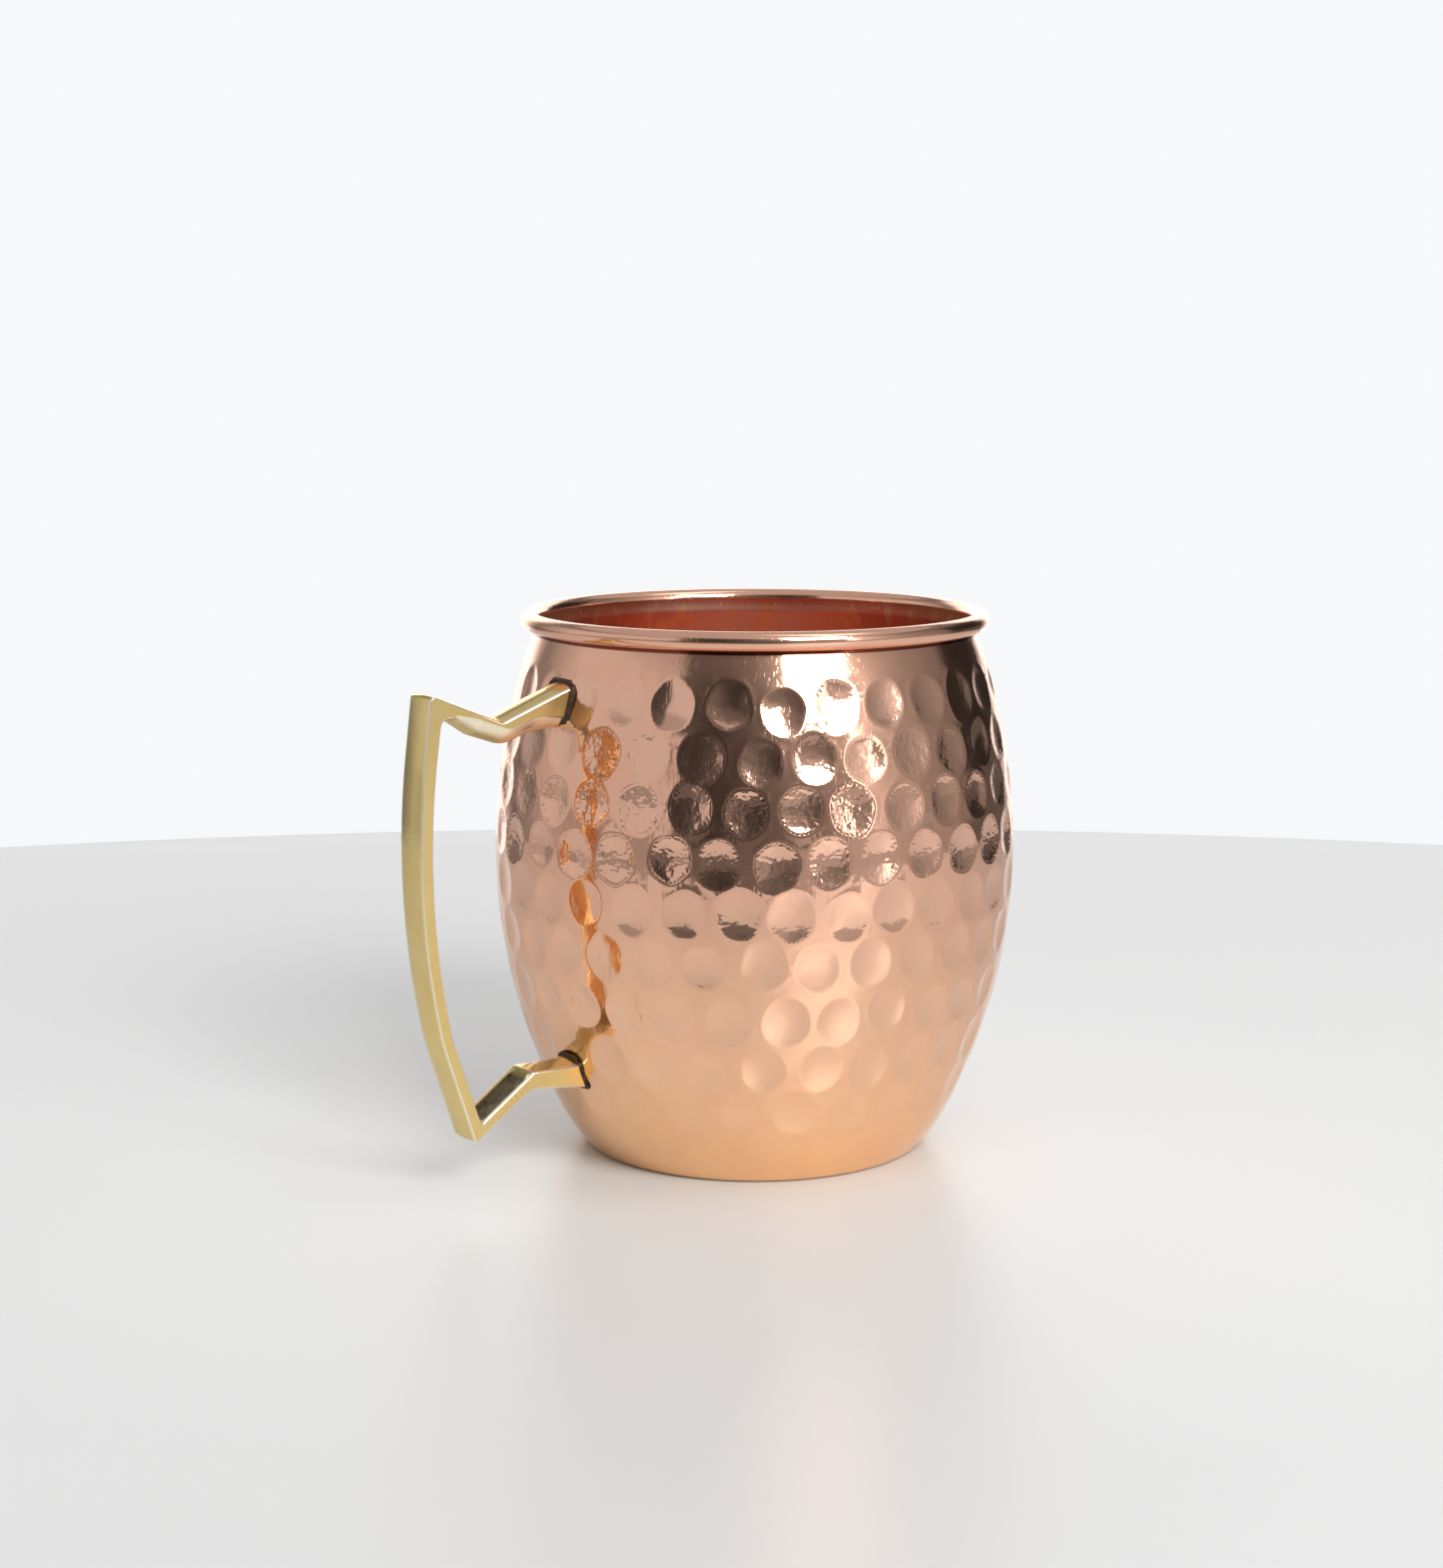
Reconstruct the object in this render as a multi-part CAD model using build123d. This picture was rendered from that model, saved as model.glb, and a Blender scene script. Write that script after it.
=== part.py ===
from build123d import *
import math
import os

# Copper mug: a spun barrel cup with a rolled rim and a cast brass handle brazed to its side.
# Millimetres. +Z is up, the origin is the middle of the underside of the base, and the handle
# points along -X.

# Cup
TOTAL_HEIGHT = 96.0
WALL = 1.0
BASE_THICKNESS = 1.2
BASE_RADIUS = 30.5          # where the wall's outer curve would meet the table
BASE_EDGE_ROUND = 1.5
BASE_INNER_ROUND = 2.5
FOOT_HEIGHT = 8.0           # top of the tighter curve above the base
BELLY_HEIGHT = 53.4
BELLY_RADIUS = 46.4
LOWER_CURVE = 102.5         # profile radius between foot and belly
UPPER_CURVE = 109.0         # profile radius between belly and neck
SHOULDER_HEIGHT = 92.0      # where the wall turns upright, close under the rim
NECK_CURVE = 1.5

# Rolled rim: the sheet's edge curled outwards round a hollow
RIM_RADIUS = 1.65
RIM_HOLLOW_RADIUS = RIM_RADIUS - WALL
RIM_END_ANGLE = -110.0      # the curl stops short of the neck

# Handle outline in its own plane: distance from the cup's axis, height, corner radius
HANDLE_WIDTH = 6.6
OUTER_EDGE_ROUND = 0.8
INNER_EDGE_ROUND = 0.3
HANDLE_OUTLINE = [
    (36.0, 88.1, 0.0),      # upper arm, outer face, inside the cup
    (55.2, 81.0, 0.3),      # valley of the upper arm
    (69.2, 86.3, 0.9),      # top corner of the grip
    (73.5, 54.0, 135.0),    # long bow of the grip
    (68.2, 27.7, 30.0),     # grip turns in towards its foot
    (62.0, 9.3, 0.9),       # bottom corner of the grip
    (50.5, 16.9, 3.0),      # lower arm levels out
    (34.0, 14.7, 0.0),      # lower arm, outer face, inside the cup
    (34.0, 19.6, 0.0),      # lower arm, inner face, inside the cup
    (50.1, 20.1, 0.5),      # crest of the lower arm
    (60.6, 12.9, 0.3),      # inner bottom corner of the grip
    (65.7, 28.4, 27.5),
    (70.9, 54.1, 132.5),
    (66.7, 82.6, 1.2),      # inner top corner of the grip
    (60.8, 78.7, 6.0),
    (54.0, 76.3, 5.0),      # underside of the valley
    (48.6, 78.2, 6.0),      # upper arm levels out towards the cup
    (36.0, 79.0, 0.0),      # upper arm, inner face, inside the cup
]

GAP_CENTRE = Vector(-57.0, 0, 50.0)     # middle of the finger gap
END_REACH = 37.0            # the blank's ends are nearer to the cup's axis than this

# Braze between each handle end and the cup
BRAZE_THICKNESS = 0.45
BRAZE_MARGIN = 0.35


def on_circle(centre, radius, angle):
    """Point of a circle in the profile plane, with the angle in degrees from outwards."""
    turn = math.radians(angle)
    return (centre[0] + radius * math.cos(turn), centre[1] + radius * math.sin(turn))


def angle_at(centre, radius, height):
    """Angle in degrees at which a circle reaches a height."""
    return math.degrees(math.asin((height - centre[1]) / radius))


# Centres of the wall's curves, for the outer face; the inner face shares them
upper_centre = (BELLY_RADIUS - UPPER_CURVE, BELLY_HEIGHT)
lower_centre = (BELLY_RADIUS - LOWER_CURVE, BELLY_HEIGHT)
shoulder_angle = angle_at(upper_centre, UPPER_CURVE, SHOULDER_HEIGHT)
foot_angle = angle_at(lower_centre, LOWER_CURVE, FOOT_HEIGHT)
neck_centre = on_circle(upper_centre, UPPER_CURVE + NECK_CURVE, shoulder_angle)
neck_radius = neck_centre[0] - NECK_CURVE
rim_centre = (neck_radius + RIM_HOLLOW_RADIUS, TOTAL_HEIGHT - RIM_RADIUS)

# The foot curve leaves the lower curve tangentially and meets the table at the base radius
foot_point = on_circle(lower_centre, LOWER_CURVE, foot_angle)
foot_chord = (BASE_RADIUS - foot_point[0], -foot_point[1])
foot_inwards = (lower_centre[0] - foot_point[0], lower_centre[1] - foot_point[1])
foot_turn_in = (foot_chord[0] * foot_inwards[0] + foot_chord[1] * foot_inwards[1]) / LOWER_CURVE
foot_curve = (foot_chord[0] ** 2 + foot_chord[1] ** 2) / (2 * foot_turn_in)
foot_centre = on_circle(lower_centre, LOWER_CURVE - foot_curve, foot_angle)


def wall_curves(depth, floor):
    """The wall's profile, depth inside the outer face, from a floor height to the shoulder."""
    foot_radius = foot_curve - depth
    start = angle_at(foot_centre, foot_radius, floor)
    CenterArc(foot_centre, foot_radius, start, foot_angle - start)
    CenterArc(lower_centre, LOWER_CURVE - depth, foot_angle, -foot_angle)
    CenterArc(upper_centre, UPPER_CURVE - depth, 0, shoulder_angle)
    return on_circle(foot_centre, foot_radius, start)


def neck_curve(depth):
    """The neck's profile from the shoulder until it stands upright."""
    radius = NECK_CURVE + depth
    CenterArc(neck_centre, radius, 180 + shoulder_angle, -shoulder_angle)
    return (neck_centre[0] - radius, neck_centre[1])


def cup_body():
    """One sheet of copper: flat base, barrel wall, upright neck and rolled rim."""
    hollow_start = (rim_centre[0] - RIM_HOLLOW_RADIUS, rim_centre[1])
    curl_sweep = RIM_END_ANGLE - 180
    with BuildPart() as cup:
        with BuildSketch(Plane.XZ) as section:
            with BuildLine():
                outer_corner = wall_curves(0, 0)
                outer_neck = neck_curve(0)
                Line(outer_neck, hollow_start)
                CenterArc(rim_centre, RIM_HOLLOW_RADIUS, 180, curl_sweep)
                Line(
                    on_circle(rim_centre, RIM_HOLLOW_RADIUS, RIM_END_ANGLE),
                    on_circle(rim_centre, RIM_RADIUS, RIM_END_ANGLE),
                )
                CenterArc(rim_centre, RIM_RADIUS, RIM_END_ANGLE, -curl_sweep)
                inner_neck = neck_curve(WALL)
                Line(on_circle(rim_centre, RIM_RADIUS, 180), inner_neck)
                inner_corner = wall_curves(WALL, BASE_THICKNESS)
                Polyline(outer_corner, (0, 0), (0, BASE_THICKNESS), inner_corner)
            make_face()
            fillet(section.vertices().sort_by_distance(outer_corner)[0], BASE_EDGE_ROUND)
            fillet(section.vertices().sort_by_distance(inner_corner)[0], BASE_INNER_ROUND)
        revolve(axis=Axis.Z)
    return cup.part


def barrel(margin):
    """Solid barrel up to the shoulder, a margin larger than the cup all round."""
    with BuildPart() as solid:
        with BuildSketch(Plane.XZ):
            with BuildLine():
                corner = wall_curves(-margin, 0)
                shoulder = on_circle(upper_centre, UPPER_CURVE + margin, shoulder_angle)
                Polyline(corner, (0, 0), (0, shoulder[1]), shoulder)
            make_face()
        revolve(axis=Axis.Z)
    return solid.part


def handle_blank(margin):
    """The handle before its ends are cut to the cup, grown by a margin all round."""
    corners = [(-reach, height) for reach, height, _ in HANDLE_OUTLINE]
    radii = [radius for _, _, radius in HANDLE_OUTLINE]
    with BuildPart() as blank:
        with BuildSketch(Plane.XZ):
            with BuildLine():
                FilletPolyline(corners, radius=radii, close=True)
            make_face()
            if margin > 0:
                offset(amount=margin, kind=Kind.INTERSECTION)
        extrude(amount=HANDLE_WIDTH / 2 + margin, both=True)
    return blank.part


def side_edges(solid, facing_gap):
    """Edges round the handle's flat sides, on the faces that face the finger gap or on the rest."""
    half_width = HANDLE_WIDTH / 2
    edges = []
    for face in solid.faces():
        centre = face.center()
        faces_gap = face.normal_at(centre).dot(GAP_CENTRE - centre) > 0
        is_side = abs(centre.Y) > half_width / 2
        is_end = centre.X > -END_REACH
        if faces_gap == facing_gap and not is_side and not is_end:
            for side in (-half_width, half_width):
                edges += face.edges().filter_by_position(Axis.Y, side, side)
    return edges


def handle():
    """Cast brass handle, its edges eased and its ends cut to sit on the braze."""
    blank = handle_blank(0)
    inner_eased = blank.fillet(INNER_EDGE_ROUND, side_edges(blank, True))
    eased = inner_eased.fillet(OUTER_EDGE_ROUND, side_edges(inner_eased, False))
    return eased - barrel(BRAZE_THICKNESS)


def braze_joints():
    """The lower and the upper braze joint, a thin layer between each handle end and the cup."""
    layer = barrel(BRAZE_THICKNESS) - barrel(0)
    return (handle_blank(BRAZE_MARGIN) & layer).solids().sort_by(Axis.Z)


def main():
    lower_braze, upper_braze = braze_joints()
    solids = {
        "cup_body": cup_body(),
        "handle": handle(),
        "upper_braze_joint": upper_braze,
        "lower_braze_joint": lower_braze,
    }
    os.makedirs("parts", exist_ok=True)
    for name, solid in solids.items():
        export_step(solid, f"parts/{name}.step")


if __name__ == "__main__":
    main()
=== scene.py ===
import math

import bpy
import numpy as np
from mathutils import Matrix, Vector
from mathutils.geometry import delaunay_2d_cdt


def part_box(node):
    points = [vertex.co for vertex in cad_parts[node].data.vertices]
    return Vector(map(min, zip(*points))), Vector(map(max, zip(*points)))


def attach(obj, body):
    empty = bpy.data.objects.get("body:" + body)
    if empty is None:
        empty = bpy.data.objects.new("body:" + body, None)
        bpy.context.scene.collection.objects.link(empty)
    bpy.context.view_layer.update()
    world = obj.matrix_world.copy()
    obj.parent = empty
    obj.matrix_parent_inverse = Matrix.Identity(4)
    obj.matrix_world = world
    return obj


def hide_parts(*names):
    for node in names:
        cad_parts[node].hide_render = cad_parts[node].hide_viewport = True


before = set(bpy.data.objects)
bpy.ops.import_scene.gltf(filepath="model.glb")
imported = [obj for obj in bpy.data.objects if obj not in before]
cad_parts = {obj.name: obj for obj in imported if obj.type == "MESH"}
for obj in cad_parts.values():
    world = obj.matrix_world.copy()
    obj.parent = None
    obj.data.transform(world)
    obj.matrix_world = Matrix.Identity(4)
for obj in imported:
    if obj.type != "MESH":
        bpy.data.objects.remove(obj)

MM = 0.001
TURN = 2 * math.pi

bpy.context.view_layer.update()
_, cup_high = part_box("cup_body")
handle_low, handle_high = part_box("handle")
RANDOM = np.random.default_rng(62)

# ---------------- cup profile
# The same curves as the CAD cup. Angles are in the profile plane, from outwards (0) to up (90).
HEIGHT = cup_high.z
BELLY_RADIUS = cup_high.x
BELLY_HEIGHT = 53.4 * MM
WALL = 1.0 * MM
BASE_THICKNESS = 1.2 * MM
BASE_RADIUS = 30.5 * MM
BASE_EDGE_ROUND = 1.5 * MM
BASE_INNER_ROUND = 2.5 * MM
FOOT_HEIGHT = 8.0 * MM
LOWER_CURVE = 102.5 * MM
UPPER_CURVE = 109.0 * MM
SHOULDER_HEIGHT = 92.0 * MM
NECK_CURVE = 1.5 * MM
RIM_RADIUS = 1.65 * MM
RIM_END_ANGLE = -110.0


def on_circle(centre, radius, angle):
    """Point of a circle in the profile plane, with the angle in degrees."""
    turn = math.radians(angle)
    return (centre[0] + radius * math.cos(turn), centre[1] + radius * math.sin(turn))


def angle_at(centre, radius, height):
    """Angle in degrees at which a circle reaches a height."""
    return math.degrees(math.asin((height - centre[1]) / radius))


def angle_to(centre, point):
    """Angle in degrees from a circle's centre to a point."""
    return math.degrees(math.atan2(point[1] - centre[1], point[0] - centre[0]))


upper_centre = (BELLY_RADIUS - UPPER_CURVE, BELLY_HEIGHT)
lower_centre = (BELLY_RADIUS - LOWER_CURVE, BELLY_HEIGHT)
shoulder_angle = angle_at(upper_centre, UPPER_CURVE, SHOULDER_HEIGHT)
foot_angle = angle_at(lower_centre, LOWER_CURVE, FOOT_HEIGHT)
neck_centre = on_circle(upper_centre, UPPER_CURVE + NECK_CURVE, shoulder_angle)
neck_radius = neck_centre[0] - NECK_CURVE
rim_centre = (neck_radius + RIM_RADIUS - WALL, HEIGHT - RIM_RADIUS)
foot_point = on_circle(lower_centre, LOWER_CURVE, foot_angle)
foot_chord = (BASE_RADIUS - foot_point[0], -foot_point[1])
foot_inwards = (lower_centre[0] - foot_point[0], lower_centre[1] - foot_point[1])
foot_turn_in = (foot_chord[0] * foot_inwards[0] + foot_chord[1] * foot_inwards[1]) / LOWER_CURVE
foot_curve = (foot_chord[0] ** 2 + foot_chord[1] ** 2) / (2 * foot_turn_in)
foot_centre = on_circle(lower_centre, LOWER_CURVE - foot_curve, foot_angle)


def corner_round(curve_radius, floor, radius):
    """Centre and end angle of a small round between the foot curve and a flat floor."""
    height = floor + radius
    reach = curve_radius - radius
    centre = (foot_centre[0] + math.sqrt(reach ** 2 - (height - foot_centre[1]) ** 2), height)
    return centre, angle_to(foot_centre, centre)


def wall_radius(height, inset=0.0):
    """Radius of the cup's smooth wall at a height, or of a face that lies some way inside it."""
    height = np.asarray(height, float)
    foot_reach = (foot_curve - inset) ** 2 - (height - foot_centre[1]) ** 2
    foot = foot_centre[0] + np.sqrt(np.maximum(foot_reach, 0))
    lower = lower_centre[0] + np.sqrt((LOWER_CURVE - inset) ** 2 - (height - BELLY_HEIGHT) ** 2)
    upper = upper_centre[0] + np.sqrt((UPPER_CURVE - inset) ** 2 - (height - BELLY_HEIGHT) ** 2)
    below = np.where(height < FOOT_HEIGHT, foot, lower)
    return np.where(height < BELLY_HEIGHT, below, upper)


# ---------------- hammer marks
# Rows of round dents, each pressed in by the same ball. Angles are degrees round from the handle.
MARK_SPACING = 9.2 * MM
MARK_HALF_WIDTH = 3.75 * MM
MARK_HALF_HEIGHT = 4.1 * MM
MARK_DEPTH = 0.5 * MM
MARK_JITTER = 0.28 * MM
MARK_REACH = 1.5            # no mark or ridge is felt farther off, in mark sizes
MARK_SOFTNESS = 0.06        # how gently a mark's floor meets the wall
MARK_END = 2.0              # square of the distance, in mark sizes, where a mark has died out
MARK_FADE = 0.8             # how much nearer, on the same scale, its fading starts
MARK_BURR = 0.018 * MM      # the low ridge pushed up round each mark
BURR_REACH = 1.09           # where the ridge lies and how wide it is, in mark sizes
BURR_WIDTH = 0.06
INNER_BUMP = 0.12           # share of a mark's depth that shows inside the cup
INNER_SOFTNESS = 0.5
INNER_SPREAD = 1.1
MARK_ROWS = [               # height in mm, where the first mark lies in degrees, strength, texture
    (83.6, 8.8, 0.95, 0.3),
    (75.3, 4.6, 1.0, 0.6),
    (67.1, 3.8, 1.0, 1.0),
    (58.4, 0.0, 1.0, 0.9),
    (49.9, 3.3, 0.8, 0.2),
    (41.3, 7.2, 1.0, 0.15),
    (31.6, 10.6, 1.0, 0.15),
    (22.5, 2.7, 0.95, 0.15),
    (14.4, 7.0, 0.55, 0.1),
]
BAND_LOW = 10.0 * MM        # the hammered band
BAND_HIGH = 89.0 * MM
BAND_BLEND = 8.0 * MM
WAVES = (                   # height in mm, waves round the cup, turn per metre of height, start
    (0.022, 3, 40, 1.0),
    (0.016, 7, -95, 2.2),
    (0.010, 13, 150, 0.4),
)


class Mark:
    """One dent: where it is, how large, and how its outline wanders from round."""

    def __init__(self, angle, height, strength, texture):
        size = RANDOM.uniform(0.94, 1.06)
        self.angle = angle
        self.height = height
        self.half_width = MARK_HALF_WIDTH * size * RANDOM.uniform(0.96, 1.04)
        self.half_height = MARK_HALF_HEIGHT * size * RANDOM.uniform(0.96, 1.04)
        self.depth = MARK_DEPTH * strength * RANDOM.uniform(0.8, 1.15)
        self.wander = [
            (waves, RANDOM.uniform(0, TURN), RANDOM.uniform(0.006, 0.028)) for waves in (2, 3, 5)
        ]
        self.texture = texture * RANDOM.uniform(0.4, 1.0)

    def outline(self, turn):
        """How far the outline stands out, as a share of its size, at a direction round the mark."""
        return 1 + sum(amount * np.cos(waves * turn + start) for waves, start, amount in self.wander)


def make_marks():
    """Every mark of every row, evenly spaced round the cup with a little jitter."""
    marks = []
    for row_height, start, strength, texture in MARK_ROWS:
        radius = float(wall_radius(row_height * MM))
        count = round(TURN * radius / MARK_SPACING)
        for number in range(count):
            slip = RANDOM.normal(0, MARK_JITTER) / radius
            angle = math.radians(start) + TURN * number / count + slip
            height = row_height * MM + RANDOM.normal(0, MARK_JITTER)
            marks.append(Mark(angle % TURN, height, strength, texture))
    return marks


marks = make_marks()


def dent(angle, height, softness=MARK_SOFTNESS, spread=1.0, ridge=MARK_BURR):
    """Depth of the hammer marks at points of the outer face, less the ridge round each."""
    angle = np.asarray(angle, float) % TURN
    height = np.asarray(height, float)
    depth = np.zeros(angle.shape)
    burr = np.zeros(angle.shape)
    radius = wall_radius(height)
    for mark in marks:
        across = (angle - mark.angle + math.pi) % TURN - math.pi
        x = across * radius / (mark.half_width * spread)
        y = (height - mark.height) / (mark.half_height * spread)
        near = (np.abs(x) < MARK_REACH) & (np.abs(y) < MARK_REACH)
        if near.any():
            outline = mark.outline(np.arctan2(y[near], x[near]))
            distance = (x[near] ** 2 + y[near] ** 2) / outline ** 2
            inside = 1 - distance
            bowl = mark.depth * 0.5 * (inside + np.sqrt(inside ** 2 + softness ** 2))
            bowl *= np.clip((MARK_END - distance) / MARK_FADE, 0, 1)
            depth[near] = np.maximum(depth[near], bowl)
            past = (np.sqrt(distance) - BURR_REACH) / BURR_WIDTH
            burr[near] = np.maximum(burr[near], np.exp(-past ** 2))
    return depth - ridge * burr


def unevenness(angle, height):
    """Slow waves that hand work leaves in the wall, always inwards."""
    waves = 0.0
    deepest = 0.0
    for size, count, turning, start in WAVES:
        waves = waves + size * MM * np.sin(count * angle + turning * height + start)
        deepest += size * MM
    rise = np.clip((height - BAND_LOW) / BAND_BLEND, 0, 1)
    fall = np.clip((BAND_HIGH - height) / BAND_BLEND, 0, 1)
    return (waves - deepest) * rise * fall


def outer_point(angle, height):
    """Point of the hammered outer face; the angle is from the handle, which points along -X."""
    radius = wall_radius(height) - dent(angle, height) + unevenness(angle, height)
    return round_the_axis(radius, angle, height)


def inner_point(angle, height):
    """Point of the inner face, where each hammer mark shows as a soft bump."""
    bump = INNER_BUMP * dent(angle, height, INNER_SOFTNESS, INNER_SPREAD, ridge=0)
    return round_the_axis(wall_radius(height, WALL) - bump, angle, height)


def round_the_axis(radius, angle, height):
    """Points at a radius, an angle from the handle and a height."""
    return np.stack([-radius * np.cos(angle), -radius * np.sin(angle), height + 0 * angle], axis=-1)


def face_normal(point_of, angle, height, side=1):
    """Normal of a face from two small steps along it, outwards or with side -1 inwards."""
    step = 0.03 * MM
    turn = step / wall_radius(height)
    along = point_of(angle + turn, height) - point_of(angle - turn, height)
    up = point_of(angle, height + step) - point_of(angle, height - step)
    normal = np.cross(along, up) * side
    return normal / np.linalg.norm(normal, axis=-1, keepdims=True)


# ---------------- mesh helpers
def make_object(name, points, faces, normals=None, attributes=()):
    """A smooth-shaded object, with its own normals and point attributes where they are given."""
    mesh = bpy.data.meshes.new(name)
    mesh.from_pydata([tuple(point) for point in points], [], faces)
    for label, values in attributes:
        mesh.attributes.new(label, 'FLOAT', 'POINT').data.foreach_set("value", values)
    mesh.shade_smooth()
    if normals is not None:
        mesh.normals_split_custom_set_from_vertices([tuple(normal) for normal in normals])
    piece = bpy.data.objects.new(name, mesh)
    bpy.context.scene.collection.objects.link(piece)
    return piece


class Surface:
    """Points, faces and normals gathered ring by ring."""

    def __init__(self):
        self.points = []
        self.normals = []
        self.faces = []

    def add(self, points, normals):
        first = len(self.points)
        self.points.extend(points)
        self.normals.extend(normals)
        return list(range(first, first + len(points)))

    def join(self, below, above):
        """Quads between two closed rings with the same number of points."""
        count = len(below)
        for i in range(count):
            j = (i + 1) % count
            self.faces.append((below[i], below[j], above[j], above[i]))

    def cap(self, ring, point, normal, side=1):
        """Triangles from a ring to a middle point."""
        middle = self.add([point], [normal])[0]
        ring = ring[::side]
        for i in range(len(ring)):
            self.faces.append((ring[i], ring[(i + 1) % len(ring)], middle))


# ---------------- cup mesh
COLUMNS = 256
MARK_FLOOR = 0.93           # share of a mark that takes the hammer's texture
BAND_SCALE = 44 * MM        # the band is laid flat as a ring that grows by e over this height
LATTICE = 1.5 * MM          # spacing of the points between the marks
LATTICE_ROW = LATTICE * 0.87
BAND_MARGIN = 0.5 * MM      # kept free of points along the band's edges
MARK_RINGS = (              # share of the mark's size, points
    (0.0, 1),
    (0.3, 6),
    (0.54, 12),
    (0.74, 18),
    (0.88, 24),
    (0.97, 30),
    (1.0, 32),
    (1.04, 32),
    (1.09, 32),
    (1.17, 28),
)
# How near another mark's middle a point may lie, as a share of that mark's size
LATTICE_LIMIT = 1.27
OUTER_RING_LIMIT = 1.03
INNER_RING_LIMIT = 0.97
ring_angles = np.arange(COLUMNS) * TURN / COLUMNS


def arc_stations(centre, radius, start, end, count, outward=1):
    """Stations of an arc: radius, height and the face's normal in the profile plane."""
    stations = []
    for angle in np.linspace(start, end, count):
        point = on_circle(centre, radius, angle)
        turn = math.radians(angle)
        stations.append((point[0], point[1], outward * math.cos(turn), outward * math.sin(turn)))
    return stations


def smooth_rings(surface, stations, last=None):
    """Adds a ring for each station, joins it to the ring before, and returns the last one."""
    for radius, height, out, up in stations:
        points = round_the_axis(radius, ring_angles, height)
        normals = round_the_axis(out, ring_angles, up)
        ring = surface.add(points, normals)
        if last:
            surface.join(last, ring)
        last = ring
    return last


def mark_distance(mark, angle, height):
    """Distance from a mark's middle as a share of its size."""
    across = (angle - mark.angle + math.pi) % TURN - math.pi
    x = across * wall_radius(height) / mark.half_width
    y = (height - mark.height) / mark.half_height
    return np.hypot(x, y)


def band_seeds():
    """Angles and heights of the band's points: rings inside each mark and a lattice between."""
    angles, heights, owners, shares = [], [], [], []
    for index, mark in enumerate(marks):
        radius = float(wall_radius(mark.height))
        for share, count in MARK_RINGS:
            turns = np.arange(count) * TURN / count
            size = share * mark.outline(turns)
            angles.append(mark.angle + size * mark.half_width * np.cos(turns) / radius)
            heights.append(mark.height + size * mark.half_height * np.sin(turns))
            owners.append(np.full(count, index))
            shares.append(np.full(count, share))
    rows = int((BAND_HIGH - BAND_LOW) / LATTICE_ROW)
    for row in range(1, rows):
        height = BAND_LOW + (BAND_HIGH - BAND_LOW) * row / rows
        count = int(TURN * float(wall_radius(height)) / LATTICE)
        angles.append((np.arange(count) + 0.5 * (row % 2)) * TURN / count)
        heights.append(np.full(count, height))
        owners.append(np.full(count, -1))
        shares.append(np.zeros(count))
    angles = np.concatenate(angles) % TURN
    heights = np.concatenate(heights)
    owners = np.concatenate(owners)
    shares = np.concatenate(shares)
    keep = (heights > BAND_LOW + BAND_MARGIN) & (heights < BAND_HIGH - BAND_MARGIN)
    for index, mark in enumerate(marks):
        distance = mark_distance(mark, angles, heights)
        limit = np.where(shares > 1.01, OUTER_RING_LIMIT, INNER_RING_LIMIT)
        limit = np.where(owners < 0, LATTICE_LIMIT, limit)
        keep &= (owners == index) | (distance > limit)
    return angles[keep], heights[keep]


def hammered_band(surface, low_ring, high_ring):
    """Fills the band between two rings with triangles that follow the marks' outlines."""
    angles, heights = band_seeds()
    all_angles = np.concatenate([ring_angles, ring_angles, angles])
    all_heights = np.concatenate([np.repeat([BAND_LOW, BAND_HIGH], COLUMNS), heights])
    scale = np.exp((all_heights - BAND_LOW) / BAND_SCALE)
    plane = [Vector(pair) for pair in zip(scale * np.cos(all_angles), scale * np.sin(all_angles))]
    ends = [(i, (i + 1) % COLUMNS) for i in range(COLUMNS)]
    edges = ends + [(COLUMNS + i, COLUMNS + j) for i, j in ends]
    _, _, triangles, sources, _, _ = delaunay_2d_cdt(plane, edges, [], 0, 1e-7)
    seeds = surface.add(outer_point(angles, heights), face_normal(outer_point, angles, heights))
    owner = list(low_ring) + list(high_ring) + seeds
    for triangle in triangles:
        corners = [sources[i][0] for i in triangle]
        if min(corners) < COLUMNS and max(corners) < COLUMNS:
            continue
        surface.faces.append(tuple(owner[i] for i in reversed(corners)))


def inner_wall(surface, last):
    """The inside, from the neck down to the middle of the floor."""
    floor_centre, floor_angle = corner_round(foot_curve - WALL, BASE_THICKNESS, BASE_INNER_ROUND)
    stations = arc_stations(upper_centre, UPPER_CURVE - WALL, shoulder_angle, 0, 38)[1:]
    stations += arc_stations(lower_centre, LOWER_CURVE - WALL, 0, foot_angle, 46)[1:]
    for _, height, _, _ in stations:
        heights = np.full(COLUMNS, height)
        normals = face_normal(inner_point, ring_angles, heights, side=-1)
        ring = surface.add(inner_point(ring_angles, heights), normals)
        surface.join(last, ring)
        last = ring
    foot = arc_stations(foot_centre, foot_curve - WALL, foot_angle, floor_angle, 6, outward=-1)
    last = smooth_rings(surface, foot[1:], last)
    rounding = arc_stations(floor_centre, BASE_INNER_ROUND, floor_angle, -90, 6, outward=-1)
    last = smooth_rings(surface, rounding[1:], last)
    reach = floor_centre[0]
    rings = [(reach * share, BASE_THICKNESS, 0.0, 1.0) for share in (0.9, 0.75, 0.55, 0.35, 0.15)]
    last = smooth_rings(surface, rings, last)
    surface.cap(last, (0, 0, BASE_THICKNESS), (0, 0, 1))


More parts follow.
